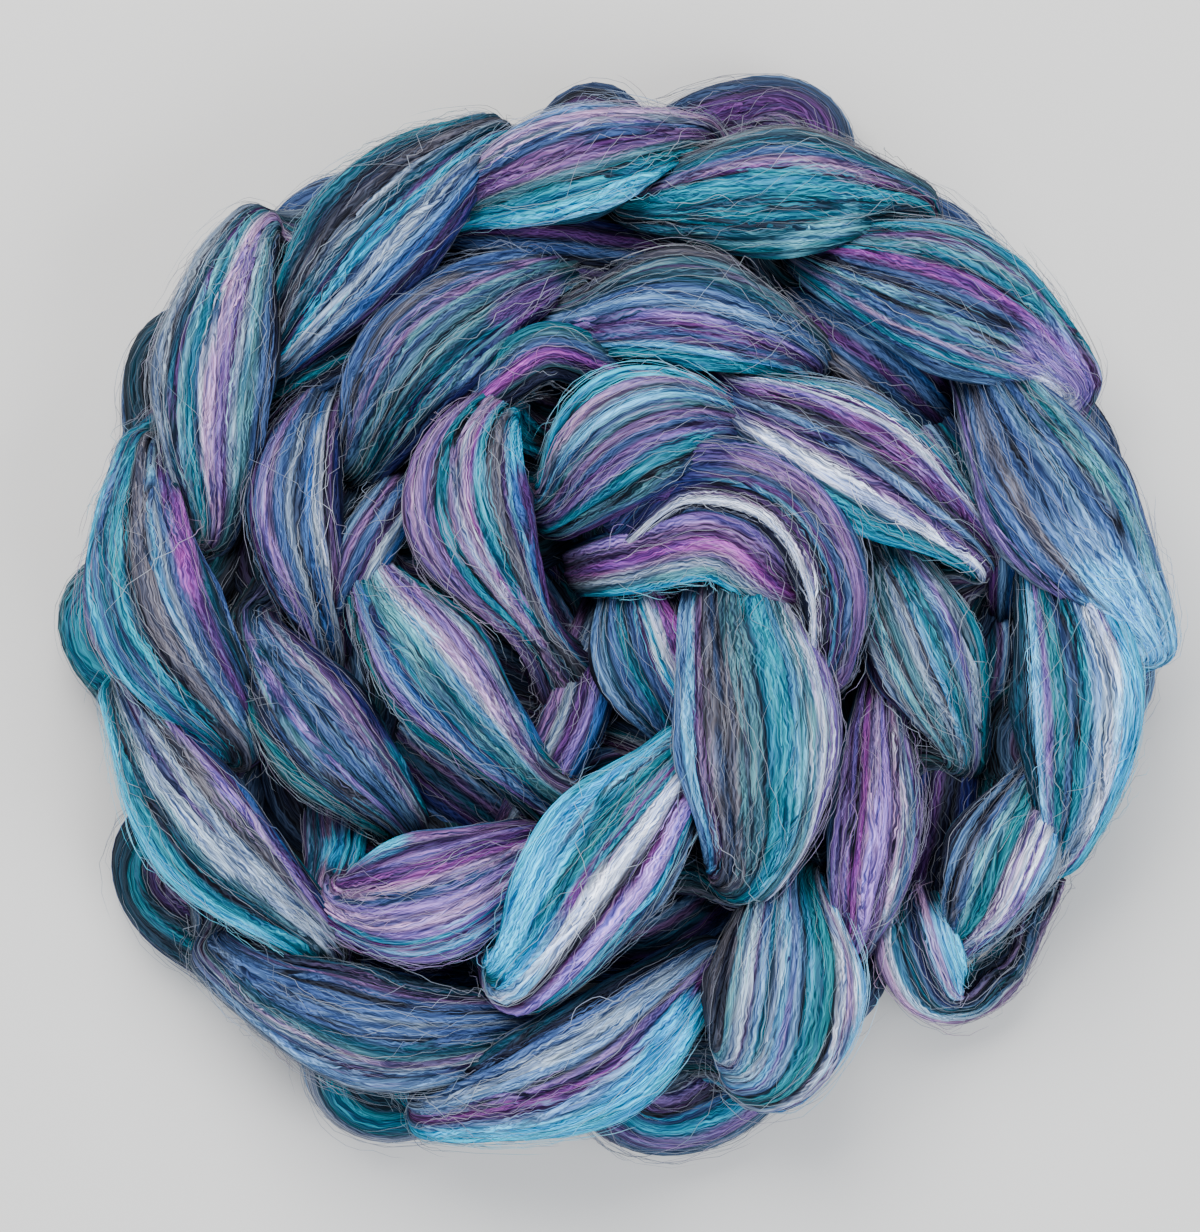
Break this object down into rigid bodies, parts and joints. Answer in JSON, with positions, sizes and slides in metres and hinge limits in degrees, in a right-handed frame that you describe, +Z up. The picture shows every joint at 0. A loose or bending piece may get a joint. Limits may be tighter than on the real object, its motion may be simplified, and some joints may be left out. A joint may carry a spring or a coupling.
{
  "type": "braid of wool roving",
  "caption": "Plaited length of soft blended wool combed top, laid down as a round spiral coil that rests flat on a surface.",
  "frame": {"origin": "middle of the coil's outline, on the surface that it rests on", "axes": "+Z up, out of the face that the picture shows; +X and +Y lie in the resting plane, +X to the picture's right and +Y to its top"},
  "size_m": [0.2239, 0.219, 0.0601],
  "materials": {
    "dyed_wool": "soft matt blended wool fibre in teal, slate, lilac, plum, cream and ink"
  },
  "bodies": {
    "root": {"wool_braid": "dyed_wool"}
  },
  "joints": []
}
